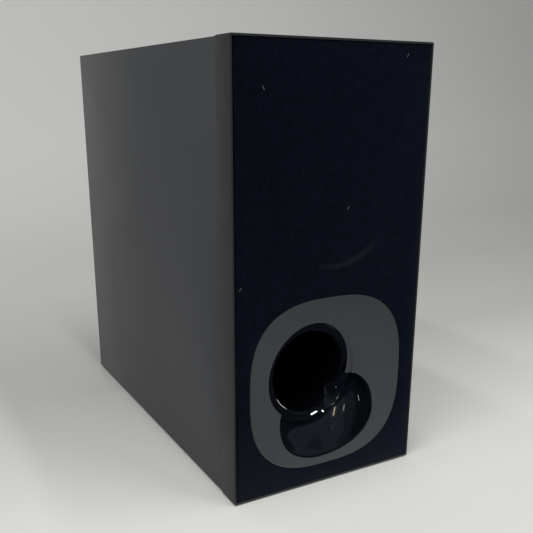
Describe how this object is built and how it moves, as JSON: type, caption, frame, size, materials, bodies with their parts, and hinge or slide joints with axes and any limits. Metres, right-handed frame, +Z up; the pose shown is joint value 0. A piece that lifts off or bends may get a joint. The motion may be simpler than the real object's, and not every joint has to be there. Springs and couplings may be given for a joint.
{
  "type": "wireless subwoofer for a soundbar",
  "caption": "Tall narrow bass cabinet with a full cloth grille and a sculpted round port low on the front, driver and amplifier inside.",
  "frame": {"origin": "on the floor, under the middle of the bounding box", "axes": "+X right seen from the front, -Y out of the front grille, +Z up"},
  "size_m": [0.19, 0.387, 0.382],
  "materials": {
    "wrap": "charcoal vinyl wrap on MDF, fine embossed grain, low sheen",
    "frame_plastic": "satin charcoal moulding",
    "board": "bare MDF",
    "rear_board": "MDF painted matt black",
    "foot_rubber": "matt",
    "cloth": "near-black woven grille cloth",
    "black_plastic": "moulded, matt",
    "bezel_plastic": "dark grey satin moulding",
    "gloss_black": "polished piano black",
    "duct_plastic": "moulded, matt",
    "steel": "black coated pressed steel",
    "soft_rubber": "matt",
    "spider_cloth": "resin treated corrugated cloth",
    "paper": "coated paper pulp",
    "copper": "enamelled copper winding",
    "ferrite": "sintered ferrite",
    "rear_plastic": "textured moulding",
    "circuit_board": "green solder mask",
    "aluminium": "extruded",
    "button_rubber": "matt",
    "lens": "clear light pipe",
    "pin_metal": "plated pin",
    "wadding": "polyester fibre wadding",
    "screw_steel": "black plated steel"
  },
  "bodies": {
    "cabinet": {"left_side_panel": "wrap", "right_side_panel": "wrap", "top_panel": "wrap", "bottom_panel": "wrap", "front_frame": "frame_plastic", "front_baffle": "board", "rear_panel": "rear_board", "foot_1": "foot_rubber", "foot_2": "foot_rubber", "foot_3": "foot_rubber", "foot_4": "foot_rubber", "grille_cloth": "cloth", "grille_frame": "black_plastic", "port_bezel": "bezel_plastic", "port_flare": "gloss_black", "port_duct": "duct_plastic", "duct_end_flare": "duct_plastic", "driver_basket": "steel", "driver_surround": "soft_rubber", "driver_gasket": "soft_rubber", "spider": "spider_cloth", "top_plate": "steel", "magnet": "ferrite", "yoke": "steel", "driver_terminal": "black_plastic", "amp_plate": "rear_plastic", "amp_gasket": "soft_rubber", "amp_board": "circuit_board", "heat_sink": "aluminium", "power_transformer": "steel", "capacitor_1": "black_plastic", "capacitor_2": "black_plastic", "wireless_module": "aluminium", "tact_switch": "black_plastic", "indicator_lens": "lens", "ac_inlet": "black_plastic", "inlet_pin_1": "pin_metal", "inlet_pin_2": "pin_metal", "speaker_lead": "soft_rubber", "damping_wadding": "wadding", "driver_screw_1": "screw_steel", "driver_screw_2": "screw_steel", "driver_screw_3": "screw_steel", "driver_screw_4": "screw_steel", "port_screw_1": "screw_steel", "port_screw_2": "screw_steel", "port_screw_3": "screw_steel", "port_screw_4": "screw_steel", "amp_plate_screw_1": "screw_steel", "amp_plate_screw_2": "screw_steel", "amp_plate_screw_3": "screw_steel", "amp_plate_screw_4": "screw_steel"},
    "cone": {"driver_cone": "paper", "dust_cap": "paper", "voice_coil_former": "paper", "voice_coil": "copper"},
    "button": {"link_button": "button_rubber"}
  },
  "joints": [
    {"name": "cone_travel", "type": "slide", "parent": "cabinet", "child": "cone", "axis": [0, -1, 0], "range_m": [-0.005, 0.005], "stiffness_N_per_m": 1500, "deforming": ["driver_surround", "spider"]},
    {"name": "link_button_press", "type": "slide", "parent": "cabinet", "child": "button", "axis": [0, -1, 0], "range_m": [0, 0.0012], "stiffness_N_per_m": 600}
  ]
}
